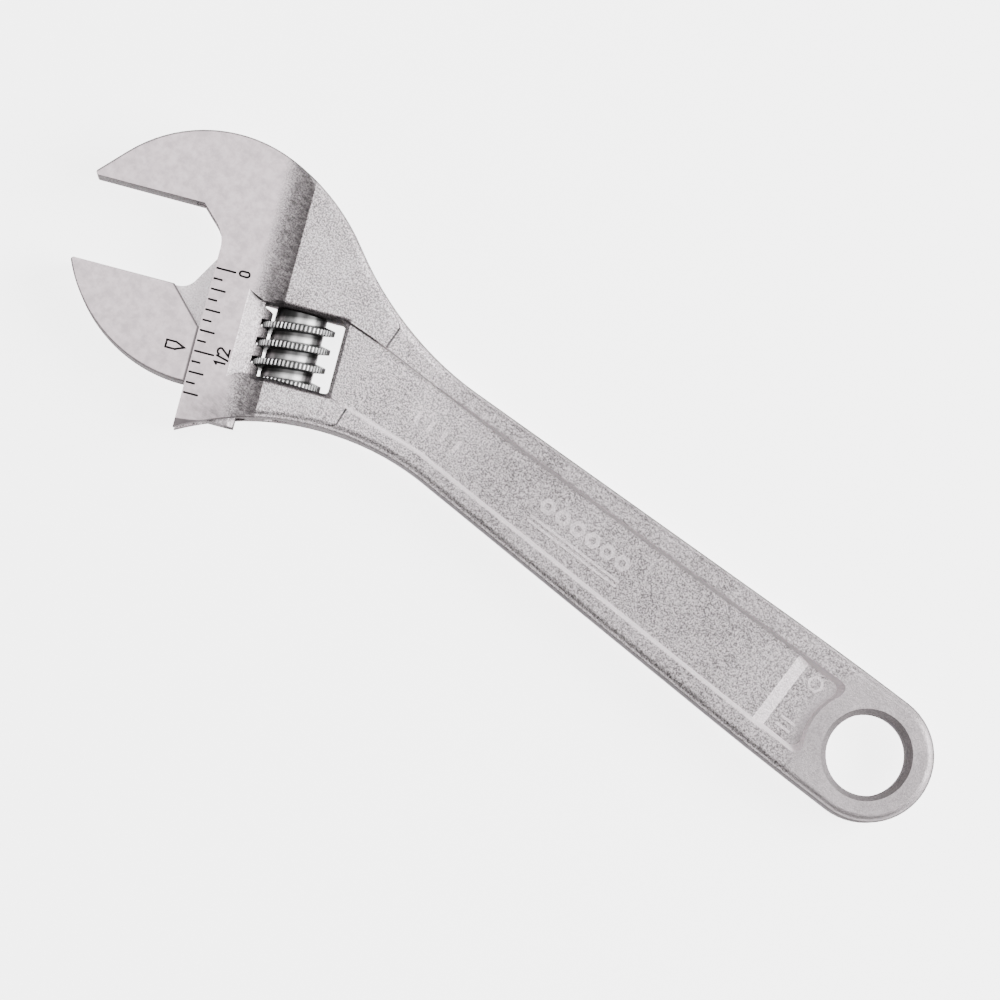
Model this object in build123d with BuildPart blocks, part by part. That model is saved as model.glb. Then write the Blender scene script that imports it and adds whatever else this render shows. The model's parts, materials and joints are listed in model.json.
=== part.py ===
from build123d import *

import math
import os

# Adjustable wrench, 6 inch: body, movable jaw, worm, worm pin and spring.
#
# Millimetres. The origin is the centre of the hang hole at mid thickness, +X runs along the handle
# to the head, and +Z is the side that carries the scale. The head has its own directions, turned by
# JAW_ANGLE in that plane: "reach" runs out along the jaws and "travel" is the way the movable jaw
# opens. Sketches of the head are drawn in HEAD_PLANE, where x is reach and y is travel.

# handle
TAIL_RADIUS = 9.85
TAIL_X = -0.27
HANDLE_CURVE_RADIUS = 680
HANDLE_TAPER = 1.9  # degrees on each side
HANDLE_HALF = 4.0  # half thickness over the rails
HOLE_RADIUS = 6.05
HOLE_FLARE = 0.8
BOSS_RADIUS = 9.9  # where its wall meets the floor of the pocket
BOSS_DRAFT = 12  # degrees
PANEL_FLOOR = 3.0  # half thickness of the web between the two panels
PANEL_DRAFT = 22  # degrees
PANEL_HALF_TAIL = 6.2
PANEL_HALF_NECK = 4.4
PANEL_NECK_X = 80
FLOOR_RISE_START = 72
FLOOR_RISE_END = 96
FLOOR_AT_WINDOW = 4.9
PANEL_NECK_ROUND = 25
PANEL_PAST_WINDOW = 3.5  # how far the hollow is carried on into the window
POCKET_FLOOR = 2.2
POCKET_END = 14.9
POCKET_RAMP = 1.9
POCKET_ROUND = 1.4
RELIEF = 0.2  # height of the raised marks on the panel floors
EMBLEM_X = 52.8
EMBLEM_LENGTH = 16.5
SIZE_MARK_X = 79.5
DATE_MARK_X = 12.3

# neck and the outline of the head
NECK_START_TOP = 76.5
NECK_START_BOTTOM = 78.3
NECK_RADIUS_TOP = 42
NECK_SWEEP_TOP = 58
NECK_RADIUS_BOTTOM = 50
NECK_SWEEP_BOTTOM = 31.7
THROAT_BACK_RADIUS = 32.3
JAW_BACK_RADIUS = 21.66
JAW_BACK_SWEEP = 69
JAW_TIP_RUN = 10  # straight end of the fixed jaw's back, to beyond its face
SWELL_START = 80
SWELL_END = 97
SHOULDER_HALF = 5.6
FORGED_ROUND = 1.2

# head, in reach and travel
JAW_ANGLE = 22.5
FRONT_EDGE = 111.6
GROUND_HALF = 4.9
GROUND_START = 100.3
GROUND_RAMP = 3.7
GROUND_TAPER = 1.35  # degrees on each side
FIXED_FACE = -53.8
OPENING = 12.7  # rest gap between the jaws, half an inch
THROAT_REACH = 115.55
THROAT_TRAVEL = -50.0
THROAT_ROUND = 5
JAW_TIP_ROUND = 0.4

# worm, its window, its pin and its spring
WORM_REACH = 97.4
WORM_PITCH = 2.82
WORM_CREST = 5.4
WORM_HUB = 3.85
WORM_CREST_HALF = 0.42
WORM_ROOT_HALF = 0.72
WORM_PHASE = -37.3  # travel of the middle crest, on the handle side
WINDOW_NEAR = 90.7
WINDOW_FAR = 103.8
WINDOW_LOW = -42.0
WINDOW_HIGH = -30.9
WINDOW_ROUND = 0.6
WINDOW_LIP = 0.4
BEVEL_FAR = 106.05
BEVEL_DEPTH = 1.1
BEVEL_FLARE = 1.2
BEVEL_TOP = 4.95  # just outside the ground faces
BEVEL_OVERLAP = 0.4
END_PLAY = 0.12
PIN_RADIUS = 1.5
PIN_HEAD_RADIUS = 1.9
PIN_HEAD_START = -29.6
PIN_TOP = -25.8
PIN_BOTTOM = -45.2
PIN_PLAY = 0.02
PIN_CHAMFER = 0.3
BORE_PLAY = 0.05
SPRING_POCKET_RADIUS = 2.75
SPRING_POCKET_DEPTH = 3.8
SPRING_RADIUS = 2.2
SPRING_WIRE = 0.22
SPRING_PITCH = 0.95
SPRING_LENGTH = 3.75
PIN_SLOT_WIDTH = 0.6
PIN_SLOT_DEPTH = 0.7

# slide
SLIDE_REACH = 105.3
RACK_RADIUS = 3.65
SLIDE_PLAY = 0.08
RACK_TOP = -22.7
RACK_BOTTOM = -46.6
RACK_ROOT = 103.05
RACK_CUT_HALF = 5  # the grooves are cut over this half width
RACK_RUNOUT = -24.25  # above this travel the rack is cut to its root
WEB_HALF = 1.8
WEB_FOOT = 3.2  # how far past the front edge the web's lower end reaches at the jaw face
WEB_ROUND = 2.8
SLOT_HALF = 1.95
SLOT_PLAY = 0.3  # room round the web's lower end in the closed position
SLOT_PAST_FACE = 1.0
SLOT_PAST_EDGE = 0.9
SLIDE_END = -60.2
MESH_PLAY = 0.13

# movable jaw
JAW_BACK_X = 122.7
JAW_BACK_Y = -2.8
MOVABLE_BACK_RADIUS = 22.15
HEEL_REACH = 116.8
HEEL_TRAVEL = -35.75
SHOULDER_END = -27.3
JAW_FORGED_HALF = 5.1
JAW_ROUND = 1.0
GROOVES_BELOW = -4  # turns of the thread from WORM_PHASE to the first groove
GROOVES_ABOVE = 5

# scale
INCH = 25.4
SCALE_ZERO = -44.9
MARK_DEPTH = 0.16
MARK_WIDTH = 0.31
MARK_LONG = 3.1
MARK_MIDDLE = 2.35
MARK_SHORT = 1.45
MARK_GAP = 0.15  # between the marks and the edge of the cheek
SCALE_COUNT = 12
DIGIT_REACH = 107.1
DIGIT_HEIGHT = 1.8
DIGIT_WIDTH = 1.05
POINTER_REACH = 112.95

COS = math.cos(math.radians(JAW_ANGLE))
SIN = math.sin(math.radians(JAW_ANGLE))
REACH_DIR = Vector(COS, SIN, 0)
TRAVEL_DIR = Vector(-SIN, COS, 0)
HEAD_PLANE = Plane(origin=(0, 0, 0), x_dir=REACH_DIR, z_dir=(0, 0, 1))
MOVABLE_FACE = FIXED_FACE + OPENING
CLEAR = 15  # more than the tool's half thickness, for cuts that go right through
OUTER = 170  # beyond the jaw tips
os.makedirs("parts", exist_ok=True)


def head_point(reach, travel, height=0):
    """The point in the wrench's frame that lies at this reach and travel."""
    return REACH_DIR * reach + TRAVEL_DIR * travel + Vector(0, 0, height)


def travel_plane(reach, travel):
    """A plane square to the travel, with z along it and x along the reach."""
    return Plane(origin=head_point(reach, travel), x_dir=REACH_DIR, z_dir=TRAVEL_DIR)


def ground_half(reach):
    """Half thickness between the ground faces of the head at this reach."""
    run = reach - GROUND_START - GROUND_RAMP
    return GROUND_HALF - run * math.tan(math.radians(GROUND_TAPER))


def ground_plane():
    """The ground face on the +Z side, with x along the reach from the front edge and y the travel."""
    tilt = math.radians(GROUND_TAPER)
    along = REACH_DIR * math.cos(tilt) - Vector(0, 0, math.sin(tilt))
    origin = head_point(FRONT_EDGE, 0, ground_half(FRONT_EDGE))
    return Plane(origin, x_dir=along, z_dir=along.cross(TRAVEL_DIR))


# ---------------------------------------------------------------- grinding
# What the grinding takes off both sides of the head: a ramp down from the forged shoulder, then
# a face that tapers towards the jaw tips.
with BuildPart() as ground_off:
    with BuildSketch(Plane(origin=head_point(0, FIXED_FACE - 30), x_dir=REACH_DIR, z_dir=-TRAVEL_DIR)):
        for side in (1, -1):
            with BuildLine():
                ramp_end = GROUND_START + GROUND_RAMP
                start = (GROUND_START, side * SHOULDER_HALF)
                end = (ramp_end, side * ground_half(ramp_end))
                TangentArc(end, start, tangent=(-1, side * math.tan(math.radians(GROUND_TAPER))))
                far = (OUTER, side * ground_half(OUTER))
                Polyline(end, far, (OUTER, side * CLEAR), (GROUND_START, side * CLEAR), start)
            make_face()
    extrude(amount=FIXED_FACE - 60)

# ---------------------------------------------------------------- handle recess
# The hollow of one handle panel, for the +Z side. Its floor is level along the handle, rises to
# the worm window, and steps down to a pocket beside the boss of the hang hole.
with BuildPart() as recess:
    with BuildSketch(Plane.XY.offset(POCKET_FLOOR)) as panel:
        inset = (PANEL_FLOOR - POCKET_FLOOR) * math.tan(math.radians(PANEL_DRAFT))
        climb = (FLOOR_AT_WINDOW - POCKET_FLOOR) * math.tan(math.radians(PANEL_DRAFT))
        corner_top = head_point(WINDOW_NEAR, WINDOW_HIGH)
        corner_low = head_point(WINDOW_NEAR, WINDOW_LOW)
        with BuildLine():
            Polyline(
                (0, PANEL_HALF_TAIL - inset),
                (PANEL_NECK_X, PANEL_HALF_NECK - inset),
                (corner_top.X, corner_top.Y - climb),
                (corner_top.X + PANEL_PAST_WINDOW, corner_top.Y - climb - PANEL_PAST_WINDOW / 2),
                (corner_low.X + PANEL_PAST_WINDOW, corner_low.Y + climb + PANEL_PAST_WINDOW),
                (corner_low.X, corner_low.Y + climb),
                (PANEL_NECK_X, -PANEL_HALF_NECK + inset),
                (0, -PANEL_HALF_TAIL + inset),
                close=True,
            )
        make_face()
        neck_corners = panel.vertices().filter_by(lambda corner: abs(corner.X - PANEL_NECK_X) < 0.1)
        fillet(neck_corners, PANEL_NECK_ROUND)
    extrude(amount=SHOULDER_HALF + 0.5 - POCKET_FLOOR, taper=-PANEL_DRAFT)
    with BuildSketch(Plane.XZ.offset(-CLEAR)):
        with BuildLine():
            Polyline(
                (0, POCKET_FLOOR),
                (POCKET_END, POCKET_FLOOR),
                (POCKET_END + POCKET_RAMP, PANEL_FLOOR),
                (FLOOR_RISE_START, PANEL_FLOOR),
            )
            rise = Spline(
                (FLOOR_RISE_START, PANEL_FLOOR),
                (FLOOR_RISE_END, FLOOR_AT_WINDOW),
                tangents=((1, 0), (1, 0)),
            )
            Polyline(rise @ 1, (FRONT_EDGE, FLOOR_AT_WINDOW), (FRONT_EDGE, CLEAR))
            Polyline((FRONT_EDGE, CLEAR), (0, CLEAR), (0, POCKET_FLOOR))
        make_face()
    extrude(amount=2 * CLEAR, mode=Mode.INTERSECT)
    with BuildSketch(Plane.XY.offset(POCKET_FLOOR)):
        Circle(BOSS_RADIUS)
    extrude(amount=CLEAR, taper=BOSS_DRAFT, mode=Mode.SUBTRACT)
    corners = recess.edges().filter_by(lambda edge: edge.bounding_box().size.Z > 1 and edge.center().X < 11)
    fillet(corners, POCKET_ROUND)

# ---------------------------------------------------------------- raised marks
# Plain shapes on the panel floors, in place of lettering. Their tops follow the floor.
with BuildPart() as raised_marks:
    with BuildSketch(Plane.XY.offset(POCKET_FLOOR - RELIEF)):
        with Locations((EMBLEM_X, 2.75), (EMBLEM_X, 1.95)):
            SlotOverall(EMBLEM_LENGTH, 0.4)
        with Locations((EMBLEM_X, -0.6)):
            with GridLocations(EMBLEM_LENGTH / 6, 0, 6, 1):
                RegularPolygon(1.3, 6)
                Circle(0.55, mode=Mode.SUBTRACT)
        with Locations((SIZE_MARK_X, 0.6)):
            with GridLocations(2.4, 0, 4, 1):
                SlotOverall(1.9, 0.55, rotation=90)
        with Locations((DATE_MARK_X, -3.8)):
            RegularPolygon(1.35, 6)
            Circle(0.8, mode=Mode.SUBTRACT)
        with Locations((DATE_MARK_X, 3.6)):
            with GridLocations(0, 1.3, 1, 2):
                SlotOverall(2.6, 0.4)
    extrude(amount=SHOULDER_HALF - POCKET_FLOOR)
    add(Pos(0, 0, RELIEF) * recess.part, mode=Mode.SUBTRACT)

# ---------------------------------------------------------------- body
with BuildPart() as body:
    with BuildSketch(Plane.XY.offset(-SHOULDER_HALF)):
        with BuildLine():
            tail = ThreePointArc(
                (TAIL_X, TAIL_RADIUS), (TAIL_X - TAIL_RADIUS, 0), (TAIL_X, -TAIL_RADIUS)
            )
            curve = JernArc(tail @ 1, (1, 0), HANDLE_CURVE_RADIUS, HANDLE_TAPER)
            run = (NECK_START_BOTTOM - (curve @ 1).X) / math.cos(math.radians(HANDLE_TAPER))
            edge = Line(curve @ 1, curve @ 1 + (curve % 1) * run)
            neck = JernArc(edge @ 1, edge % 1, NECK_RADIUS_BOTTOM, -NECK_SWEEP_BOTTOM)
            back = JernArc(
                neck @ 1, neck % 1, THROAT_BACK_RADIUS, NECK_SWEEP_BOTTOM - HANDLE_TAPER
            )
            jaw_back = JernArc(back @ 1, back % 1, JAW_BACK_RADIUS, JAW_BACK_SWEEP)
            jaw_end = Line(jaw_back @ 1, jaw_back @ 1 + (jaw_back % 1) * JAW_TIP_RUN)
            curve = JernArc(tail @ 0, (1, 0), HANDLE_CURVE_RADIUS, -HANDLE_TAPER)
            run = (NECK_START_TOP - (curve @ 1).X) / math.cos(math.radians(HANDLE_TAPER))
            edge = Line(curve @ 1, curve @ 1 + (curve % 1) * run)
            neck = JernArc(edge @ 1, edge % 1, NECK_RADIUS_TOP, NECK_SWEEP_TOP)
            Line(neck @ 1, jaw_end @ 1)
        make_face()
    extrude(amount=2 * SHOULDER_HALF)

    # thickness along the handle, swelling into the shoulder
    with BuildSketch(Plane.XZ.offset(-60)):
        for side in (1, -1):
            with BuildLine():
                swell = Spline(
                    (SWELL_START, side * HANDLE_HALF),
                    (SWELL_END, side * SHOULDER_HALF),
                    tangents=((1, 0), (1, 0)),
                )
                Polyline(swell @ 1, (OUTER, side * SHOULDER_HALF), (OUTER, 0), (-CLEAR, 0))
                Polyline((-CLEAR, 0), (-CLEAR, side * HANDLE_HALF), swell @ 0)
            make_face()
    extrude(amount=120, mode=Mode.INTERSECT)
    rim = body.edges().filter_by(lambda edge: abs(edge.center().Z) > HANDLE_HALF - 0.5)
    rim = rim.filter_by(lambda edge: edge.bounding_box().size.X > 0.5)
    # the edge inside the mouth is left square, because the mouth's cut takes it away
    fillet(rim.filter_by(lambda edge: edge.center().X < 120 or edge.center().Y < 0), FORGED_ROUND)

    # ground faces and the mouth between the jaws
    add(ground_off.part, mode=Mode.SUBTRACT)
    with BuildSketch(HEAD_PLANE.offset(-CLEAR)) as mouth:
        with BuildLine():
            Polyline(
                (FRONT_EDGE, 0),
                (FRONT_EDGE, THROAT_TRAVEL),
                (THROAT_REACH, FIXED_FACE),
                (OUTER, FIXED_FACE),
                (OUTER, 0),
                close=True,
            )
        make_face()
        throat = mouth.vertices().sort_by_distance((FRONT_EDGE, THROAT_TRAVEL, 0))[0]
        fillet(throat, THROAT_ROUND)
    extrude(amount=2 * CLEAR, mode=Mode.SUBTRACT)
    tip = body.edges().filter_by(Axis.Z).sort_by(Axis.X)[-1]
    fillet(tip, JAW_TIP_ROUND)

    # worm window, with the bevel on its jaw side
    window_centre = ((WINDOW_NEAR + WINDOW_FAR) / 2, (WINDOW_LOW + WINDOW_HIGH) / 2)
    with BuildSketch(HEAD_PLANE.offset(-CLEAR)):
        with Locations(window_centre):
            RectangleRounded(WINDOW_FAR - WINDOW_NEAR, WINDOW_HIGH - WINDOW_LOW, WINDOW_ROUND)
    extrude(amount=2 * CLEAR, mode=Mode.SUBTRACT)
    for side in (1, -1):
        inner = WINDOW_FAR - BEVEL_OVERLAP
        with BuildSketch(HEAD_PLANE.offset(side * (BEVEL_TOP - BEVEL_DEPTH))):
            with BuildLine():
                Polyline(
                    (inner, WINDOW_LOW),
                    (WINDOW_FAR, WINDOW_LOW),
                    (WINDOW_FAR, WINDOW_HIGH),
                    (inner, WINDOW_HIGH),
                    close=True,
                )
            make_face()
        with BuildSketch(HEAD_PLANE.offset(side * BEVEL_TOP)):
            with BuildLine():
                Polyline(
                    (inner, WINDOW_LOW),
                    (BEVEL_FAR, WINDOW_LOW - BEVEL_FLARE),
                    (BEVEL_FAR, WINDOW_HIGH + BEVEL_FLARE),
                    (inner, WINDOW_HIGH),
                    close=True,
                )
            make_face()
        loft(mode=Mode.SUBTRACT)
        # softened edges where the shoulder meets the window
        lip = Plane((0, 0, side * (SHOULDER_HALF - WINDOW_LIP)), x_dir=REACH_DIR, z_dir=(0, 0, side))
        with BuildSketch(lip):
            with Locations((window_centre[0], side * window_centre[1])):
                RectangleRounded(WINDOW_FAR - WINDOW_NEAR, WINDOW_HIGH - WINDOW_LOW, WINDOW_ROUND)
        extrude(amount=1, taper=-45, mode=Mode.SUBTRACT)

    # slide bore, blind below the fixed jaw, and its slot
    with BuildSketch(travel_plane(SLIDE_REACH, SLIDE_END)):
        Circle(RACK_RADIUS + SLIDE_PLAY)
    extrude(amount=-SLIDE_END, mode=Mode.SUBTRACT)
    with BuildSketch(HEAD_PLANE.offset(-SLOT_HALF)):
        with BuildLine():
            Polyline(
                (SLIDE_REACH, 0),
                (SLIDE_REACH, SLIDE_END),
                (FRONT_EDGE + SLOT_PLAY, SLIDE_END),
                (FRONT_EDGE + WEB_FOOT, FIXED_FACE - SLOT_PAST_FACE),
                (HEEL_REACH, FIXED_FACE - SLOT_PLAY),
                (HEEL_REACH, THROAT_TRAVEL),
                (FRONT_EDGE + SLOT_PAST_EDGE, THROAT_TRAVEL + THROAT_ROUND),
                (FRONT_EDGE + SLOT_PAST_EDGE, 0),
                close=True,
            )
        make_face()
    extrude(amount=2 * SLOT_HALF, mode=Mode.SUBTRACT)

    # hole for the worm pin
    with BuildSketch(travel_plane(WORM_REACH, PIN_BOTTOM - PIN_PLAY)):
        Circle(PIN_RADIUS + PIN_PLAY)
    extrude(amount=-PIN_BOTTOM, mode=Mode.SUBTRACT)
    with BuildSketch(travel_plane(WORM_REACH, PIN_HEAD_START)):
        Circle(PIN_HEAD_RADIUS + PIN_PLAY)
    extrude(amount=-PIN_HEAD_START, mode=Mode.SUBTRACT)

    # handle panels and the hang hole
    add(recess.part, mode=Mode.SUBTRACT)
    add(mirror(recess.part, about=Plane.XY, mode=Mode.PRIVATE), mode=Mode.SUBTRACT)
    with BuildSketch(Plane.XY.offset(-CLEAR)):
        Circle(HOLE_RADIUS)
    extrude(amount=2 * CLEAR, mode=Mode.SUBTRACT)
    hole_rims = body.edges().filter_by(GeomType.CIRCLE)
    chamfer(hole_rims.filter_by(lambda edge: abs(edge.radius - HOLE_RADIUS) < 0.01), HOLE_FLARE)

    add(raised_marks.part)

    # scale on the cheek: sixteenths of an inch, from the closed position to three quarters
    with BuildSketch(ground_plane()):
        for sixteenth in range(SCALE_COUNT + 1):
            travel = SCALE_ZERO + sixteenth * INCH / 16
            length = MARK_LONG if sixteenth % 8 == 0 else MARK_MIDDLE if sixteenth % 2 == 0 else MARK_SHORT
            with Locations((-MARK_GAP - length / 2, travel)):
                SlotOverall(length, MARK_WIDTH)
    extrude(amount=-MARK_DEPTH, mode=Mode.SUBTRACT)

    # a nought at the closed end of the scale, and a half with its digits' tops towards the jaws
    with BuildSketch(ground_plane()):
        with Locations((DIGIT_REACH - FRONT_EDGE, SCALE_ZERO - 0.1)):
            SlotOverall(DIGIT_HEIGHT, DIGIT_WIDTH)
            SlotOverall(DIGIT_HEIGHT - 2 * MARK_WIDTH, DIGIT_WIDTH - 2 * MARK_WIDTH, mode=Mode.SUBTRACT)
        half = SCALE_ZERO + INCH / 2 + 0.8
        with BuildLine(Plane((DIGIT_REACH - FRONT_EDGE, half))):
            Polyline((-0.7, 0), (0.95, 0), (0.6, 0.4))
        trace(line_width=MARK_WIDTH)
        with BuildLine(Plane((DIGIT_REACH - FRONT_EDGE, half - 0.75))):
            Line((-1.0, 0.25), (1.0, -0.25))
        trace(line_width=MARK_WIDTH)
        with BuildLine(Plane((DIGIT_REACH - FRONT_EDGE, half - 1.7))):
            top = ThreePointArc((0.5, 0.5), (0.95, 0), (0.4, -0.45))
            Polyline(top @ 1, (-0.8, 0.5), (-0.8, -0.6))
        trace(line_width=MARK_WIDTH)
    extrude(amount=-MARK_DEPTH, mode=Mode.SUBTRACT)
body.part.label = "body"
export_step(body.part, "parts/body.step")

# ---------------------------------------------------------------- movable jaw
with BuildPart() as movable_jaw:
    with BuildSketch(HEAD_PLANE.offset(-JAW_FORGED_HALF)) as jaw:
        with BuildLine():
            Polyline(
                (FRONT_EDGE + SLIDE_PLAY, 0),
                (FRONT_EDGE + SLIDE_PLAY, HEEL_TRAVEL),
                (HEEL_REACH, MOVABLE_FACE),
                (OUTER, MOVABLE_FACE),
                (OUTER, 0),
                close=True,
            )
        make_face()
        centre = HEAD_PLANE.to_local_coords(Vector(JAW_BACK_X, JAW_BACK_Y, 0))
        with Locations((centre.X, centre.Y)):
            Circle(MOVABLE_BACK_RADIUS, mode=Mode.INTERSECT)
        fillet(jaw.vertices().sort_by(Axis.X)[-1], JAW_TIP_ROUND)
    extrude(amount=2 * JAW_FORGED_HALF)
    back_edges = movable_jaw.edges().filter_by(GeomType.CIRCLE)
    fillet(back_edges, JAW_ROUND)
    add(ground_off.part, mode=Mode.SUBTRACT)

    # the web through the slot, and the round rack
    with BuildSketch(HEAD_PLANE.offset(-WEB_HALF)) as web:
        with BuildLine():
            Polyline(
                (SLIDE_REACH, RACK_BOTTOM),
                (FRONT_EDGE, RACK_BOTTOM),
                (FRONT_EDGE + WEB_FOOT, MOVABLE_FACE),
                (HEEL_REACH, MOVABLE_FACE),
                (HEEL_REACH, HEEL_TRAVEL),
                (FRONT_EDGE + 1, HEEL_TRAVEL + 3),
                (FRONT_EDGE + 1, SHOULDER_END - 1),
                (FRONT_EDGE - 2.6, RACK_TOP - 0.8),
                (SLIDE_REACH, RACK_TOP - 0.8),
                close=True,
            )
        make_face()
        heel = web.vertices().sort_by_distance((FRONT_EDGE + WEB_FOOT, MOVABLE_FACE, 0))[0]
        fillet(heel, WEB_ROUND)
    extrude(amount=2 * WEB_HALF)
    with BuildSketch(travel_plane(SLIDE_REACH, RACK_BOTTOM)):
        Circle(RACK_RADIUS)
    extrude(amount=RACK_TOP - RACK_BOTTOM)

    # rack grooves, slanted to the lead of the worm's thread, and the plain end
    slant = WORM_PITCH / (math.pi * (WORM_CREST + WORM_HUB))
    groove_dir = HEAD_PLANE.z_dir - TRAVEL_DIR * slant
    with BuildSketch(HEAD_PLANE.offset(-RACK_CUT_HALF)):
        tip_half = WORM_CREST_HALF + MESH_PLAY
        flank = (WORM_ROOT_HALF - WORM_CREST_HALF) / (WORM_CREST - WORM_HUB)
        outside = SLIDE_REACH - RACK_RADIUS - 0.6
        mouth_half = tip_half + flank * (RACK_ROOT - outside)
        for turn in range(GROOVES_BELOW, GROOVES_ABOVE):
            travel = WORM_PHASE + (turn + 0.5) * WORM_PITCH + RACK_CUT_HALF * slant
            with BuildLine():
                Polyline(
                    (outside, travel - mouth_half),
                    (RACK_ROOT, travel - tip_half),
                    (RACK_ROOT, travel + tip_half),
                    (outside, travel + mouth_half),
                    close=True,
                )
            make_face()
    extrude(amount=2 * RACK_CUT_HALF, dir=groove_dir, mode=Mode.SUBTRACT)
    with BuildSketch(HEAD_PLANE.offset(-RACK_CUT_HALF)):
        with Locations((RACK_ROOT - 1, RACK_RUNOUT + 1)):
            Rectangle(2, 2)
    extrude(amount=2 * RACK_CUT_HALF, mode=Mode.SUBTRACT)

    # pointer of the scale, an outlined arrowhead towards the cheek
    with BuildSketch(ground_plane()):
        with BuildLine(Plane((POINTER_REACH - FRONT_EDGE, SCALE_ZERO + OPENING))):
            Polyline((0, 0), (1.3, 0.55), (2.75, 0.55), (2.75, -0.55), (1.3, -0.55), close=True)
        trace(line_width=MARK_WIDTH)
    extrude(amount=-MARK_DEPTH, mode=Mode.SUBTRACT)
movable_jaw.part.label = "movable_jaw"
export_step(movable_jaw.part, "parts/movable_jaw.step")

# ---------------------------------------------------------------- worm
# Built standing on its lower end, with x towards the back of the wrench, and then laid along the
# travel. The thread starts at the back a little above the lower end and runs out of the upper one.
WORM_LOW = WINDOW_LOW + END_PLAY
WORM_LENGTH = WINDOW_HIGH - WINDOW_LOW - 2 * END_PLAY
THREAD_START = WORM_PHASE - 1.25 * WORM_PITCH - WORM_LOW
with BuildPart() as upright_worm:
    with BuildLine():
        thread_path = Helix(WORM_PITCH, 5 * WORM_PITCH, WORM_HUB, center=(0, 0, THREAD_START))
    with BuildSketch(Plane.XZ):
        with BuildLine():
            Polyline(
                (WORM_HUB - 0.15, THREAD_START - WORM_ROOT_HALF),
                (WORM_CREST, THREAD_START - WORM_CREST_HALF),
                (WORM_CREST, THREAD_START + WORM_CREST_HALF),
                (WORM_HUB - 0.15, THREAD_START + WORM_ROOT_HALF),
                close=True,
            )
        make_face()
    sweep(path=thread_path, is_frenet=True)
    with BuildSketch():
        Circle(WORM_CREST + 0.5)
    extrude(amount=WORM_LENGTH, mode=Mode.INTERSECT)
    with BuildSketch():
        Circle(WORM_HUB)
    extrude(amount=WORM_LENGTH)
    with BuildSketch():
        Circle(PIN_RADIUS + BORE_PLAY)
    extrude(amount=WORM_LENGTH, mode=Mode.SUBTRACT)
    with BuildSketch():
        Circle(SPRING_POCKET_RADIUS)
    extrude(amount=SPRING_POCKET_DEPTH, mode=Mode.SUBTRACT)
with BuildPart() as worm:
    with Locations(Plane(head_point(WORM_REACH, WORM_LOW), x_dir=(0, 0, -1), z_dir=TRAVEL_DIR).location):
        add(upright_worm.part)
worm.part.label = "worm"
export_step(worm.part, "parts/worm.step")

# ---------------------------------------------------------------- worm pin
with BuildPart() as worm_pin:
    with BuildSketch(travel_plane(WORM_REACH, PIN_BOTTOM)):
        Circle(PIN_RADIUS)
    extrude(amount=PIN_TOP - PIN_BOTTOM)
    with BuildSketch(travel_plane(WORM_REACH, PIN_HEAD_START + 0.05)):
        Circle(PIN_HEAD_RADIUS)
    extrude(amount=PIN_TOP - PIN_HEAD_START - 0.05)
    chamfer(worm_pin.edges().sort_by(Axis(head_point(WORM_REACH, 0), TRAVEL_DIR))[0], PIN_CHAMFER)
    with BuildSketch(travel_plane(WORM_REACH, PIN_TOP)):
        Rectangle(2 * PIN_HEAD_RADIUS + 1, PIN_SLOT_WIDTH)
    extrude(amount=-PIN_SLOT_DEPTH, mode=Mode.SUBTRACT)
worm_pin.part.label = "worm_pin"
export_step(worm_pin.part, "parts/worm_pin.step")

# ---------------------------------------------------------------- spring
# Wound standing up, then laid in the worm's counterbore against the wall of the window.
with BuildPart() as upright_spring:
    with BuildLine():
        coil = Helix(SPRING_PITCH, SPRING_LENGTH - 2 * SPRING_WIRE, SPRING_RADIUS)
    with BuildSketch(Plane(coil @ 0, z_dir=coil % 0)):
        Circle(SPRING_WIRE)
    sweep(path=coil, is_frenet=True)
with BuildPart() as spring:
    with Locations(travel_plane(WORM_REACH, WINDOW_LOW + SPRING_WIRE + BORE_PLAY).location):
        add(upright_spring.part)
spring.part.label = "spring"
export_step(spring.part, "parts/spring.step")
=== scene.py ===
import json
import math

import bmesh
import bpy
from mathutils import Matrix, Vector

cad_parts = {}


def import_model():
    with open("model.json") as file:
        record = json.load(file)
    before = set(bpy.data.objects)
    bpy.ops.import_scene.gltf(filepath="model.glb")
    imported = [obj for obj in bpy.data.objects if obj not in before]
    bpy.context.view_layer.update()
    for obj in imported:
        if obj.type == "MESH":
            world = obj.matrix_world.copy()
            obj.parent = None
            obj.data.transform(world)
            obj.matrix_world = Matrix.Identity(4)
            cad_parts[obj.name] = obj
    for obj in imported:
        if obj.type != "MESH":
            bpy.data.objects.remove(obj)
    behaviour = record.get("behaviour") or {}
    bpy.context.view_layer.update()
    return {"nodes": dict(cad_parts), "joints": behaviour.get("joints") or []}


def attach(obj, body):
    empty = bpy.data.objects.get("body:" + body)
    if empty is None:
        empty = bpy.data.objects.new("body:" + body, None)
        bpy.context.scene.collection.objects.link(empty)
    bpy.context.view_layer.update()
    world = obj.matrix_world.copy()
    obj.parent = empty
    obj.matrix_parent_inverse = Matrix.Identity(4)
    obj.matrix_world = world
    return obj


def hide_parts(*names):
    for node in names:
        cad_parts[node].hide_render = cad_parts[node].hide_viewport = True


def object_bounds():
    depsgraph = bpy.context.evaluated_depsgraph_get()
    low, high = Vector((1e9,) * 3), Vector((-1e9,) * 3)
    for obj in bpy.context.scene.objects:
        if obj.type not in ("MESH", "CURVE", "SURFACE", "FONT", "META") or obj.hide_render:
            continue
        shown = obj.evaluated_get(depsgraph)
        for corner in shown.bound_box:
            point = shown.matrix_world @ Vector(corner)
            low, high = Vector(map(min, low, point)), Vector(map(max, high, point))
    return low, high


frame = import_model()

# Looks of the adjustable wrench: satin chrome over a blasted forging, ground head faces, a polished
# worm with a serrated crest, and a scale filled with black, on a white studio floor.
#
# Metres, in the wrench's frame: +X along the handle to the head, +Z up out of the scale's face. The
# head's own directions are the reach, out along the jaws, and the travel, the way the jaw opens.
MM = 0.001

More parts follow.
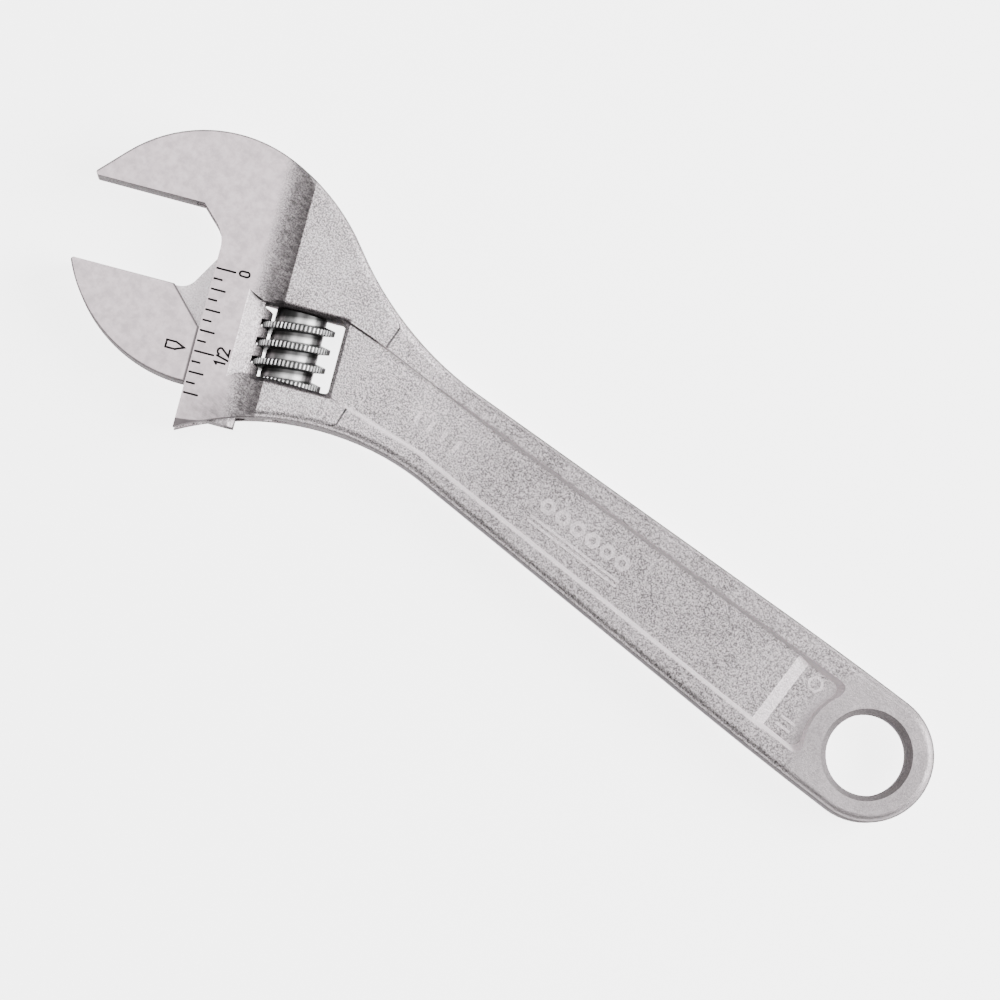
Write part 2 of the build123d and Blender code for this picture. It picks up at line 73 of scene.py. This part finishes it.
# the head's directions, from the slide's axis in the frame
SLIDE = next(joint for joint in frame["joints"] if joint["name"] == "jaw_slide")
TRAVEL = Vector(SLIDE["axis"]).normalized()
REACH = TRAVEL.cross(Vector((0, 0, 1)))
SPIN = next(joint for joint in frame["joints"] if joint["name"] == "worm_spin")
WORM_AXIS = Vector(SPIN["pos_m"])

# ground faces of the head, as the CAD part has them
FRONT_EDGE = 111.6 * MM
GROUND_START = 100.3 * MM
RAMP_END = 104.0 * MM
GROUND_HALF = 4.9 * MM
GROUND_SLOPE = math.tan(math.radians(1.35))
WEB_HALF = 1.8 * MM
RACK_REACH = 105.3 * MM  # of the slide's centre line

# distances from the slide's line or the hang hole's, between which a look fades in
RACK_SKIN = (3.8 * MM, 3.7 * MM)
RACK_GROOVES = (3.5 * MM, 3.2 * MM)
HOLE_FLARE = (6.95 * MM, 6.75 * MM)
BOSS_CALM = (13.0 * MM, 10.5 * MM)

# the spans of the engraved marks, as reach and travel
SCALE_SPANS = ((105.97 * MM, 111.5 * MM), (-46.3 * MM, -25.0 * MM))
POINTER_SPANS = ((112.4 * MM, 116.4 * MM), (-33.3 * MM, -31.0 * MM))

# edges of the head that lines of painted shade run along, as reach and travel
WINDOW_MIDDLE = (97.25 * MM, -36.45 * MM)
WINDOW_HALF = (6.55 * MM, 5.55 * MM)
FIXED_BACK = (112.88 * MM, -43.31 * MM, 21.66 * MM)  # centre and radius of the fixed jaw's back
MOVABLE_BACK = (112.29 * MM, -49.54 * MM, 22.15 * MM)
BACK_TURN = math.radians(-43.5)  # direction from the centre to where the fixed jaw's back turns straight
HEEL_CORNER = (116.8 * MM, -41.1 * MM)  # the lower corner of the movable jaw's slanted heel
HEEL_OUTWARDS = Vector((5.35, 5.12)).normalized()

# distances from an edge at which its line of painted shade starts to show, and is full
WINDOW_SHADE = (0.68 * MM, 0.52 * MM)
BACK_SHADE = (0.28 * MM, 0.14 * MM)
HEEL_SHADE = (0.34 * MM, 0.20 * MM)

# the panel on the handle: its long edges as slopes and offsets, then what stands on its floor
PANEL_TAPER = (-0.0225, 6.5 * MM)
PANEL_UPPER_FLARE = (0.098, -3.14 * MM)
PANEL_LOWER_FLARE = (-0.04, 7.9 * MM)
PANEL_SPAN = (13.5 * MM, 15.0 * MM, 90 * MM, 94 * MM)
PANEL_HALF = 5.9 * MM
POCKET_END = 14.8 * MM
MARK_TOPS = (3.10 * MM, 3.16 * MM, 3.22 * MM, 3.26 * MM)
POCKET_MARK_TOPS = (2.34 * MM, 2.38 * MM, 2.42 * MM, 2.46 * MM)
BARS_MIDDLE = (79.5 * MM, 0.6 * MM)
BARS_HALF = (3.9 * MM, 0.95 * MM)
BAR_STEP = 2.4 * MM
BAR_HALF_WIDTH = 0.28 * MM

# the worm and its thread
WORM_PITCH = 2.82 * MM
WORM_PHASE = -37.3 * MM  # travel of a crest, on the handle side
WORM_CREST = 5.4 * MM
WORM_HUB = 3.85 * MM
WORM_REACH = 97.4 * MM
WORM_LOW, WORM_HIGH = -41.88 * MM, -31.02 * MM  # travel of its two ends
WORM_BORE = 1.55 * MM
WORM_EDGE = 0.15 * MM
SPRING_POCKET = (2.75 * MM, 3.8 * MM)  # radius and depth
HUB_STEPS = 96
SERRATIONS = 52  # in one turn of the crest
SERRATION_DEPTH = 0.22 * MM
SERRATION_STEPS = 4  # two on each land and two in each gap
THREAD_TURNS = 4
TURNS_BELOW_PHASE = 1.25
THREAD_SIDE = (  # half width and radius of the thread's section, from its crest into the hub
    (0.34 * MM, WORM_CREST), (0.42 * MM, WORM_CREST - 0.06 * MM),
    (0.46 * MM, WORM_CREST - SERRATION_DEPTH), (0.72 * MM, WORM_HUB - 0.15 * MM),
)

# studio
FLOOR_SIZE = 6.0
FLOOR_GAP = 0.05 * MM
FLOOR_GLOW = 4.0
FLOOR_MIDDLE = (60 * MM, 0.0)
LIGHTS_AIM = Vector((68 * MM, 3 * MM, 0.0))
CAMERA_AIM = Vector((65.94 * MM, 3.01 * MM, 4.5 * MM))
CAMERA_RIGHT = Vector((-0.7942, -0.6077, 0.0))
CAMERA_TILT = (math.radians(-0.7), math.radians(3.35))
CAMERA_DISTANCE = 1.0
VIEW_WIDTH = 147.74 * MM
SENSOR_WIDTH = 36.0


# ---------------------------------------------------------------- shader building
class Shader:
    """A material's node tree, with short ways to add nodes and link them."""

    def __init__(self, name):
        self.material = bpy.data.materials.new(name)
        self.material.use_nodes = True
        self.tree = self.material.node_tree
        self.tree.nodes.clear()

    def add(self, kind, inputs=None, **settings):
        node = self.tree.nodes.new(kind)
        for key, value in settings.items():
            setattr(node, key, value)
        for key, value in (inputs or {}).items():
            self.put(node.inputs[key], value)
        return node

    def put(self, socket, value):
        if isinstance(value, bpy.types.NodeSocket):
            self.tree.links.new(value, socket)
        else:
            socket.default_value = value

    def math(self, operation, a, b=0.0, c=0.0):
        node = self.add("ShaderNodeMath", operation=operation)
        for socket, value in zip(node.inputs, (a, b, c)):
            self.put(socket, value)
        return node.outputs[0]

    def minus(self, a, b):
        return self.math("SUBTRACT", a, b)

    def size(self, value):
        return self.math("ABSOLUTE", value)

    def above(self, value, limit):
        return self.math("GREATER_THAN", value, limit)

    def under(self, value, limit):
        return self.math("LESS_THAN", value, limit)

    def between(self, value, span):
        return self.times(self.above(value, span[0]), self.under(value, span[1]))

    def within(self, value, middle, half):
        return self.under(self.size(self.minus(value, middle)), half)

    def times(self, first, *others):
        """The product of all the values: of masks, where every one of them holds."""
        for other in others:
            first = self.math("MULTIPLY", first, other)
        return first

    def most(self, first, *others):
        """The largest of the values: of masks, where any of them holds."""
        for other in others:
            first = self.math("MAXIMUM", first, other)
        return first

    def line(self, value, slope, offset):
        return self.math("MULTIPLY_ADD", value, slope, offset)

    def weighed(self, a, b, weights):
        """The sum of two values, each times its weight."""
        return self.line(a, weights[0], self.times(b, weights[1]))

    def length(self, a, b):
        return self.math("SQRT", self.math("ADD", self.times(a, a), self.times(b, b)))

    def dot(self, vector, direction):
        node = self.add("ShaderNodeVectorMath", {0: vector, 1: tuple(direction)}, operation="DOT_PRODUCT")
        return node.outputs["Value"]

    def scaled(self, vector, factors):
        node = self.add("ShaderNodeVectorMath", {0: vector, 1: factors}, operation="MULTIPLY")
        return node.outputs["Vector"]

    def ramp(self, value, low, high, to_low=0.0, to_high=1.0):
        inputs = {"Value": value, "From Min": low, "From Max": high, "To Min": to_low, "To Max": to_high}
        return self.add("ShaderNodeMapRange", inputs, clamp=True).outputs["Result"]

    def band(self, value, start, full, fading, end):
        """One from full to fading, and nothing before start or past end."""
        return self.times(self.ramp(value, start, full), self.ramp(value, end, fading))

    def mix(self, factor, a, b):
        node = self.add("ShaderNodeMix", data_type="FLOAT")
        for socket, value in zip((node.inputs[0], node.inputs[2], node.inputs[3]), (factor, a, b)):
            self.put(socket, value)
        return node.outputs[0]

    def mix_colour(self, factor, a, b):
        node = self.add("ShaderNodeMix", data_type="RGBA")
        for socket, value in zip((node.inputs[0], node.inputs[6], node.inputs[7]), (factor, a, b)):
            self.put(socket, value)
        return node.outputs[2]

    def noise(self, vector, scale, detail=2.0, roughness=0.5):
        inputs = {"Vector": vector, "Scale": scale, "Detail": detail, "Roughness": roughness}
        return self.add("ShaderNodeTexNoise", inputs).outputs["Fac"]

    def bump(self, height, distance, normal=None):
        inputs = {"Height": height, "Distance": distance, "Strength": 1.0}
        if normal is not None:
            inputs["Normal"] = normal
        return self.add("ShaderNodeBump", inputs).outputs["Normal"]

    def metal(self, colour, roughness, normal, metallic=1.0):
        inputs = {
            "Base Color": colour, "Roughness": roughness, "Metallic": metallic, "Normal": normal,
            "Specular IOR Level": 0.0,
        }
        return self.add("ShaderNodeBsdfPrincipled", inputs).outputs["BSDF"]

    def finish(self, surface):
        output = self.add("ShaderNodeOutputMaterial")
        self.tree.links.new(surface, output.inputs["Surface"])
        return self.material


def grey(level, warmth=0.10):
    """A grey that leans very slightly to pink, by a share of its level."""
    return (level * (1 + warmth), level, level * (1 + warmth * 0.3), 1.0)


# greys of the steel, from dark to light where there are two
BLASTED = (grey(0.18), grey(1.0))
GROUND = (grey(0.31, 0.15), grey(0.42, 0.15))
# painted shade on the ramp, which faces away from the light
RAMP_SHADE = grey(0.13)
# painted shade along the bevel's inner edge
BEVEL_SHADE = grey(0.3)
SHADE = grey(0.10)
# painted light, for highlights on lit edges, the panel's step and walls, the marks' tops and the recessed
# web
PAINTED_LIGHT = grey(1.0)
# the darkest painted shade, on side walls, in the rack's grooves and along edges
DEEP_SHADE = grey(0.03)
BLACK = grey(0.0)
PAINT = grey(0.012, 0.0)

# greys of the polished worm
TURNED = (grey(0.52, 0.01), grey(0.76, 0.01))
# painted shadow under the thread and painted shade on its flanks
THREAD_SHADOW = grey(0.04, 0.01)
# painted highlight on the crest's teeth
TOOTH_HIGHLIGHT = grey(0.95, 0.01)
# painted shade between the crest's teeth
GAP_SHADE = grey(0.06, 0.01)


class Spot:
    """Where a shaded point of the body or the movable jaw is, and on which of its surfaces."""

    def __init__(self, s):
        coordinates = s.add("ShaderNodeTexCoord")
        self.point = coordinates.outputs["Object"]
        place = s.add("ShaderNodeSeparateXYZ", {0: self.point})
        self.along, self.aside = place.outputs["X"], place.outputs["Y"]
        self.upper = s.above(place.outputs["Z"], 0.0)
        self.height = s.size(place.outputs["Z"])
        normal = s.add("ShaderNodeSeparateXYZ", {0: coordinates.outputs["Normal"]})
        self.facing = s.size(normal.outputs["Z"])
        self.reach = s.dot(self.point, REACH)
        self.travel = s.dot(self.point, TRAVEL)
        flat = s.scaled(self.point, (1.0, 1.0, 0.0))
        self.from_hole = s.add("ShaderNodeVectorMath", {0: flat}, operation="LENGTH").outputs["Value"]

        ground = s.line(s.minus(self.reach, RAMP_END), -GROUND_SLOPE, GROUND_HALF)
        self.below = s.minus(ground, self.height)
        self.on_face = s.within(self.below, 0.0, 0.02 * MM)
        on_head = s.ramp(self.reach, RAMP_END - 0.4 * MM, RAMP_END + 1.6 * MM)
        self.smooth = s.times(on_head, self.on_face)
        self.high = s.above(self.height, GROUND_HALF - 0.3 * MM)
        on_ramp = s.band(self.reach, GROUND_START - 0.1 * MM, GROUND_START + 0.1 * MM,
                         RAMP_END - 1.0 * MM, RAMP_END + 1.5 * MM)
        self.streaked = s.times(on_ramp, self.high)


# ---------------------------------------------------------------- painted shade along the head's edges
def window_edge_shade(s, spot):
    """How much painted shade darkens the shoulder along the edge of the worm window, where its wall and
    chamfer lie in shade.
    """
    out = s.minus(s.size(s.minus(spot.reach, WINDOW_MIDDLE[0])), WINDOW_HALF[0])
    across = s.minus(s.size(s.minus(spot.travel, WINDOW_MIDDLE[1])), WINDOW_HALF[1])
    before_bevel = s.ramp(spot.reach, 103.0 * MM, 101.5 * MM)
    return s.times(s.ramp(s.most(out, across), *WINDOW_SHADE), spot.high, before_bevel)


def inside_back(s, spot, back):
    """How far a point of the face lies inside the round back of its jaw."""
    from_centre = s.length(s.minus(spot.reach, back[0]), s.minus(spot.travel, back[1]))
    return s.minus(back[2], from_centre)


def fixed_jaw_edge_shade(s, spot):
    """How much painted shade darkens the fixed jaw's face along its back, which is round and then straight.
    """
    outwards = (math.cos(BACK_TURN), math.sin(BACK_TURN))
    out, across = s.minus(spot.reach, FIXED_BACK[0]), s.minus(spot.travel, FIXED_BACK[1])
    past_turn = s.weighed(out, across, (-outwards[1], outwards[0]))
    inside_line = s.minus(FIXED_BACK[2], s.weighed(out, across, outwards))
    straight = s.times(s.above(past_turn, 0.0), s.under(inside_line, 2 * MM))
    depth = s.mix(straight, inside_back(s, spot, FIXED_BACK), inside_line)
    return s.times(s.ramp(depth, *BACK_SHADE), spot.on_face)


def movable_jaw_edge_shade(s, spot):
    """How much painted shade darkens the movable jaw's face along its back, the cheek and its slanted heel.
    """
    out, across = s.minus(spot.reach, HEEL_CORNER[0]), s.minus(spot.travel, HEEL_CORNER[1])
    from_heel = s.weighed(out, across, HEEL_OUTWARDS)
    from_cheek = s.minus(spot.reach, FRONT_EDGE + 0.08 * MM)
    by_heel = s.ramp(s.math("MINIMUM", from_heel, from_cheek), *HEEL_SHADE)
    by_back = s.ramp(inside_back(s, spot, MOVABLE_BACK), *BACK_SHADE)
    return s.times(s.most(by_heel, by_back), spot.on_face)


# ---------------------------------------------------------------- materials
def panel_marks(s, spot, within_panel):
    """Where the tops of the raised marks are, on the panel's floor and in its pocket."""
    before_rise = s.ramp(spot.along, 70.5 * MM, 70.0 * MM)
    on_floor = s.times(s.band(spot.height, *MARK_TOPS), within_panel, before_rise)
    in_pocket = s.times(s.band(spot.height, *POCKET_MARK_TOPS), s.under(spot.along, POCKET_END))
    from_middle = s.minus(spot.along, BARS_MIDDLE[0])
    on_a_bar = s.above(s.math("PINGPONG", from_middle, BAR_STEP / 2), BAR_STEP / 2 - BAR_HALF_WIDTH)
    bars = s.times(s.within(spot.along, BARS_MIDDLE[0], BARS_HALF[0]), on_a_bar,
                   s.within(spot.aside, BARS_MIDDLE[1], BARS_HALF[1]))
    return s.most(on_floor, in_pocket, bars)


def panel_light_and_shade(s, spot, colour):
    """The colour with painted highlights on the panel's upper edge, its step and the tops of its raised
    marks, and painted shade on its lower edge.
    """
    on_handle = s.band(spot.along, *PANEL_SPAN)
    taper = s.line(spot.along, *PANEL_TAPER)
    upper_edge = s.most(taper, s.line(spot.along, *PANEL_UPPER_FLARE))
    lower_edge = s.math("MINIMUM", taper, s.line(spot.along, *PANEL_LOWER_FLARE))
    upper_gap = s.size(s.minus(spot.aside, upper_edge))
    lower_gap = s.size(s.math("ADD", spot.aside, lower_edge))
    # painted highlight along the panel wall that faces the light, painted shade along the one that faces
    # away
    highlit_edge = s.times(s.ramp(upper_gap, 0.45 * MM, 0.20 * MM), on_handle)
    shaded_edge = s.times(s.ramp(lower_gap, 0.45 * MM, 0.10 * MM), on_handle, s.ramp(spot.facing, 0.80, 0.95))

    within_panel = s.times(s.within(spot.aside, 0.0, PANEL_HALF), on_handle)
    # painted highlight on the step, which faces the light, and on the tops of the raised marks
    on_step = s.times(s.band(spot.facing, 0.80, 0.84, 0.94, 0.98),
                      s.ramp(spot.along, 17.3 * MM, 16.9 * MM), within_panel)
    raised = s.times(s.most(on_step, panel_marks(s, spot, within_panel)), 0.6)
    colour = s.mix_colour(s.times(shaded_edge, 0.35), colour, SHADE)
    return s.mix_colour(s.times(s.most(highlit_edge, raised), 0.75), colour, PAINTED_LIGHT)


def steel_colour(s, spot, grain, streaks, is_jaw):
    """Blasted or ground steel, with streaks on the ramp painted dark for its shade, painted shade on the
    bevel's edge and a corner of the ground face, and painted light on the recessed web.
    """
    # the boss round the hang hole has less grain
    calm = s.ramp(spot.from_hole, *BOSS_CALM, 0.0, 0.75)
    grain_tone = s.mix(calm, s.ramp(grain, 0.40, 0.60), 0.5)
    mottle = s.ramp(s.noise(spot.point, 160.0, 3.0, 0.6), 0.35, 0.65, 0.0, 0.15)
    blasted = s.mix_colour(s.line(grain_tone, 0.85, mottle), *BLASTED)
    fine = s.ramp(s.noise(spot.point, 700.0, 3.0, 0.7), 0.35, 0.65)
    ground = s.mix_colour(fine, *GROUND)
    colour = s.mix_colour(spot.smooth, blasted, ground)

    # painted shade on the bevel, for the dark line between it and the rack
    on_bevel = s.times(s.above(spot.below, 0.05 * MM), s.above(spot.height, 3.4 * MM),
                       s.ramp(spot.reach, 103.2 * MM, 103.6 * MM))
    colour = s.mix_colour(s.times(on_bevel, 0.6), colour, BEVEL_SHADE)
    # painted shade on a corner of the ground face
    shaded_corner = s.times(s.ramp(spot.travel, -29 * MM, -24 * MM), s.ramp(spot.reach, 112 * MM, 106 * MM),
                         spot.smooth, s.ramp(streaks, 0.35, 0.65, 0.9, 0.4))
    colour = s.mix_colour(shaded_corner, colour, SHADE)
    if is_jaw:
        # painted light on the recessed web, which lies in shade
        on_web = s.times(s.under(spot.height, WEB_HALF + 0.05 * MM), s.above(spot.facing, 0.95),
                         s.above(spot.reach, 108 * MM))
        colour = s.mix_colour(s.times(on_web, 0.6), colour, PAINTED_LIGHT)
    # the ramp's streaks painted dark, for the shade on the ramp, which faces away from the light
    shaded_streaks = s.ramp(streaks, 0.35, 0.65, 0.94, 0.48)
    colour = s.mix_colour(s.times(spot.streaked, shaded_streaks), colour, RAMP_SHADE)

    # the colour darkens from the head towards the handle
    brightness = s.ramp(spot.along, 70 * MM, 95 * MM, 0.70, 1.0)
    return s.mix_colour(brightness, BLACK, colour)


def painted_shade(s, spot, wall, is_jaw):
    """How much painted shade darkens the steel: on its side walls, round the rack, more in its grooves, and
    in the lines along the head's edges.
    """
    rack_radius = s.length(s.minus(spot.reach, RACK_REACH), spot.height)
    behind = s.ramp(spot.reach, RACK_REACH, RACK_REACH - 1 * MM)
    on_rack = s.times(s.ramp(rack_radius, *RACK_SKIN), behind)
    in_groove = s.times(on_rack, s.ramp(rack_radius, *RACK_GROOVES))
    # painted shade in lines along the jaws' edges and round the worm window
    if is_jaw:
        edge_shade = movable_jaw_edge_shade(s, spot)
    else:
        edge_shade = s.most(fixed_jaw_edge_shade(s, spot), window_edge_shade(s, spot))
    return s.most(s.times(wall, 0.78), s.times(on_rack, 0.35), s.times(in_groove, 0.95), s.times(edge_shade, 0.85))


def satin_chrome(name, mark_spans, is_jaw):
    """Blasted chrome that turns to a smooth ground face on the head, with black in its marks.

    mark_spans are the reach and the travel of the marks. The movable jaw has painted shade along its back
    and its inner edges, and the body has it along its back and round the worm window.
    """
    s = Shader(name)
    spot = Spot(s)
    grain = s.noise(spot.point, 3900.0, 2.0, 0.8)
    streaks = s.noise(s.scaled(spot.point, (700.0, 1900.0, 300.0)), 1.0, 3.0, 0.7)
    blasted_normal = s.bump(grain, s.mix(spot.smooth, 0.06 * MM, 0.008 * MM))
    normal = s.bump(streaks, s.mix(spot.streaked, 0.0, 0.10 * MM), blasted_normal)

    # unpolished and with painted shade where the steel turns down to the sides, and painted light and matt
    # inside the panel
    steep = s.ramp(spot.facing, 0.45, 0.80, 1.0, 0.0)
    in_panel = s.times(s.within(spot.aside, 0.0, 6.8 * MM), s.above(spot.from_hole, 7.2 * MM),
                       s.band(spot.along, 4 * MM, 6 * MM, 92 * MM, 95 * MM))
    wall = s.times(steep, s.minus(1.0, in_panel))
    panel_wall = s.times(steep, in_panel)
    flared = s.times(s.ramp(spot.from_hole, *HOLE_FLARE), s.minus(1.0, steep))

    colour = panel_light_and_shade(s, spot, steel_colour(s, spot, grain, streaks, is_jaw))
    # painted shade on the side walls, round the rack and along the head's edges
    colour = s.mix_colour(painted_shade(s, spot, wall, is_jaw), colour, DEEP_SHADE)
    # painted light on the steep walls inside the panel
    colour = s.mix_colour(panel_wall, colour, PAINTED_LIGHT)
    roughness = s.mix(spot.smooth, s.ramp(grain, 0.2, 0.8, 0.50, 0.38), 0.34)
    roughness = s.most(roughness, s.times(steep, 0.87))
    matt = s.most(s.times(panel_wall, 0.9), s.times(flared, 0.5), s.times(wall, 0.8))
    steel = s.metal(colour, roughness, normal, s.minus(1.0, matt))

    # black paint in the engraved marks
    marked_reach, marked_travel = mark_spans
    painted = s.times(s.between(spot.reach, marked_reach), s.between(spot.travel, marked_travel),
                      s.between(spot.below, (0.03 * MM, 0.4 * MM)), spot.upper)
    paint = s.metal(PAINT, 0.55, blasted_normal, metallic=0.0)
    both = s.add("ShaderNodeMixShader", {0: painted, 1: steel, 2: paint}).outputs[0]
    return s.finish(both)


def worm_chrome():
    """Polished chrome with painted shadow beside the thread, painted shade on its flanks and between the
    crest's teeth, painted highlights on the teeth, and a serrated crest.
    """
    s = Shader("worm_chrome")
    place = s.add("ShaderNodeTexCoord").outputs["Object"]
    from_axis = s.add("ShaderNodeVectorMath", {0: place, 1: tuple(WORM_AXIS)}, operation="SUBTRACT")
    offset = from_axis.outputs["Vector"]
    across = s.dot(offset, REACH)
    up = s.add("ShaderNodeSeparateXYZ", {0: offset}).outputs["Z"]
    radius = s.length(across, up)
    angle = s.math("ARCTAN2", up, s.times(across, -1.0))

    # how many turns a point lies past the thread below it, along the axis
    turns = s.times(s.minus(s.dot(place, TRAVEL), WORM_PHASE), 1.0 / WORM_PITCH)
    past = s.math("FRACT", s.line(angle, -1.0 / (2 * math.pi), turns))

    crest = s.ramp(radius, WORM_CREST - 0.28 * MM, WORM_CREST - 0.24 * MM)
    below_crest = s.minus(1.0, crest)
    # painted shadow under each crest, and painted shade on the flank below it
    crest_shadow = s.times(s.minus(1.0, s.ramp(past, 0.40, 0.58)), below_crest)
    flank_shade = s.times(s.ramp(past, 0.70, 0.76), below_crest)
    teeth = s.math("SINE", s.times(angle, float(SERRATIONS)))
    # painted shade between the teeth
    between_teeth = s.times(crest, s.ramp(teeth, -0.7, 0.3, 0.97, 0.0))
    rings = s.noise(s.scaled(place, (300.0, 300.0, 2500.0)), 1.0, 2.0)

    colour = s.mix_colour(s.ramp(rings, 0.35, 0.65), *TURNED)
    colour = s.mix_colour(s.times(s.most(crest_shadow, flank_shade), 0.9), colour, THREAD_SHADOW)
    # painted highlight on the teeth, then painted shade between them
    colour = s.mix_colour(s.times(crest, s.ramp(teeth, 0.0, 0.5)), colour, TOOTH_HIGHLIGHT)
    colour = s.mix_colour(between_teeth, colour, GAP_SHADE)
    roughness = s.ramp(rings, 0.3, 0.7, 0.34, 0.50)
    return s.finish(s.metal(colour, roughness, s.bump(s.noise(place, 1500.0, 2.0), 0.012 * MM)))


def plain_steel(name, level, roughness, scale):
    """Turned or drawn steel with a faint grain."""
    s = Shader(name)
    place = s.add("ShaderNodeTexCoord").outputs["Object"]
    grain = s.noise(place, scale, 2.0)
    colour = s.mix_colour(grain, grey(level * 0.85), grey(level * 1.1))
    grain_roughness = s.ramp(grain, 0.3, 0.7, roughness, roughness + 0.1)
    return s.finish(s.metal(colour, grain_roughness, s.bump(grain, 0.008 * MM)))


def floor_white():
    """A matt white floor, lit from below like a light table."""
    s = Shader("floor_white")
    place = s.add("ShaderNodeTexCoord").outputs["Object"]
    cloud = s.noise(place, 3.0, 2.0)
    colour = s.mix_colour(cloud, (0.93, 0.93, 0.93, 1), (0.95, 0.95, 0.95, 1))
    inputs = {
        "Base Color": colour, "Roughness": 0.9, "Emission Color": (1.0, 1.0, 1.0, 1.0),
        "Emission Strength": FLOOR_GLOW,
    }
    return s.finish(s.add("ShaderNodeBsdfPrincipled", inputs).outputs["BSDF"])


def dress(node, material):
    """Gives the CAD node its one material."""
    mesh = frame["nodes"][node].data
    mesh.materials.clear()
    mesh.materials.append(material)


dress("body", satin_chrome("body_chrome", SCALE_SPANS, is_jaw=False))
dress("movable_jaw", satin_chrome("jaw_chrome", POINTER_SPANS, is_jaw=True))
dress("worm_pin", plain_steel("pin_steel", 0.5, 0.3, 1800.0))
dress("spring", plain_steel("spring_steel", 0.35, 0.35, 2500.0))


# ---------------------------------------------------------------- the worm
def around_worm(radius, angle, travel):
    """A point beside the worm's axis. The angle starts at the back and turns to the handle's side."""
    outwards = Vector((0, 0, -math.cos(angle))) - REACH * math.sin(angle)
    return REACH * WORM_REACH + TRAVEL * travel + outwards * radius


def skin(mesh, rings, closed):
    """Quads between each ring of points and the next, and from the last to the first if closed."""
    rings = [[mesh.verts.new(point) for point in ring] for ring in rings]
    pairs = list(zip(rings, rings[1:])) + ([(rings[-1], rings[0])] if closed else [])
    for ring, following in pairs:
        for k in range(len(ring)):
            following_k = (k + 1) % len(ring)
            mesh.faces.new((ring[k], ring[following_k], following[following_k], following[k]))
    return rings


def thread_rings():
    """The thread's section, ring by ring up its helix, with lands and gaps of the serrated crest."""
    start = WORM_PHASE - TURNS_BELOW_PHASE * WORM_PITCH
    section = [(-half, radius) for half, radius in reversed(THREAD_SIDE)] + list(THREAD_SIDE)
    steps_a_turn = SERRATIONS * SERRATION_STEPS
    for step in range(THREAD_TURNS * steps_a_turn + 1):
        turns = (step + 0.5) / steps_a_turn
        angle = 2 * math.pi * turns
        travel = start + WORM_PITCH * turns
        land = step % SERRATION_STEPS < SERRATION_STEPS / 2
        height = WORM_CREST if land else WORM_CREST - SERRATION_DEPTH
        yield [around_worm(min(radius, height), angle, travel + aside) for aside, radius in section]


def serrated_worm():
    """The thumb screw: a serrated thread that runs out of its upper end, and a bored hub."""
    thread = bmesh.new()
    rings = skin(thread, list(thread_rings()), closed=False)
    thread.faces.new(rings[0])
    cut = bmesh.ops.bisect_plane(
        thread, geom=thread.verts[:] + thread.edges[:] + thread.faces[:], dist=1e-7,
        plane_co=TRAVEL * WORM_HIGH, plane_no=TRAVEL, clear_outer=True)
    rim = [item for item in cut["geom_cut"] if isinstance(item, bmesh.types.BMEdge)]
    bmesh.ops.triangle_fill(thread, edges=rim, use_beauty=True)

    pocket_radius, pocket_depth = SPRING_POCKET
    profile = (
        (WORM_BORE, WORM_HIGH), (WORM_HUB - WORM_EDGE, WORM_HIGH), (WORM_HUB, WORM_HIGH - WORM_EDGE),
        (WORM_HUB, WORM_LOW + WORM_EDGE), (WORM_HUB - WORM_EDGE, WORM_LOW), (pocket_radius, WORM_LOW),
        (pocket_radius, WORM_LOW + pocket_depth), (WORM_BORE, WORM_LOW + pocket_depth),
    )
    turn = 2 * math.pi / HUB_STEPS
    skin(thread, [[around_worm(r, turn * k, t) for r, t in profile] for k in range(HUB_STEPS)], closed=True)
    bmesh.ops.recalc_face_normals(thread, faces=thread.faces[:])

    mesh = bpy.data.meshes.new("thumb_screw")
    thread.to_mesh(mesh)
    thread.free()
    mesh.shade_smooth()
    mesh.set_sharp_from_angle(angle=math.radians(25))
    mesh.materials.append(worm_chrome())
    screw = bpy.data.objects.new("thumb_screw", mesh)
    bpy.context.collection.objects.link(screw)
    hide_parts("worm")
    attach(screw, "screw")


serrated_worm()


# ---------------------------------------------------------------- studio
def pale_floor():
    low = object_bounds()[0]
    bpy.ops.mesh.primitive_plane_add(size=FLOOR_SIZE, location=(*FLOOR_MIDDLE, low[2] - FLOOR_GAP))
    floor = bpy.context.object
    floor.name = "floor"
    floor.data.materials.append(floor_white())


def soft_light(name, towards, distance, size, power):
    """A square area light that faces the middle of the wrench from the given direction."""
    data = bpy.data.lights.new(name, "AREA")
    data.shape = "SQUARE"
    data.size = size
    data.energy = power
    lamp = bpy.data.objects.new(name, data)
    lamp.location = LIGHTS_AIM + Vector(towards).normalized() * distance
    lamp.rotation_euler = (LIGHTS_AIM - lamp.location).to_track_quat("-Z", "Y").to_euler()
    bpy.context.collection.objects.link(lamp)


def camera():
    """Looks down on the scale's face, with the handle running from the lower right to the upper left."""
    away = Vector((math.tan(CAMERA_TILT[0]), math.tan(CAMERA_TILT[1]), 1.0)).normalized()
    right = (CAMERA_RIGHT - away * CAMERA_RIGHT.dot(away)).normalized()
    up = away.cross(right)
    data = bpy.data.cameras.new("camera")
    data.sensor_width = SENSOR_WIDTH
    data.lens = SENSOR_WIDTH * CAMERA_DISTANCE / VIEW_WIDTH
    data.clip_end = 50.0
    cam = bpy.data.objects.new("camera", data)
    turned = Matrix((right, up, away)).transposed().to_4x4()
    cam.matrix_world = Matrix.Translation(CAMERA_AIM + away * CAMERA_DISTANCE) @ turned
    bpy.context.collection.objects.link(cam)
    bpy.context.scene.camera = cam


def world():
    studio = bpy.data.worlds.new("studio")
    studio.use_nodes = True
    background = studio.node_tree.nodes["Background"]
    background.inputs["Color"].default_value = (1, 1, 1, 1)
    background.inputs["Strength"].default_value = 0.22
    bpy.context.scene.world = studio


pale_floor()
soft_light("key", (-0.8, -0.62, 0.8), 1.1, 0.8, 20.0)
soft_light("top", (0.15, -0.09, 1.0), 2.2, 0.95, 17.0)
world()
camera()
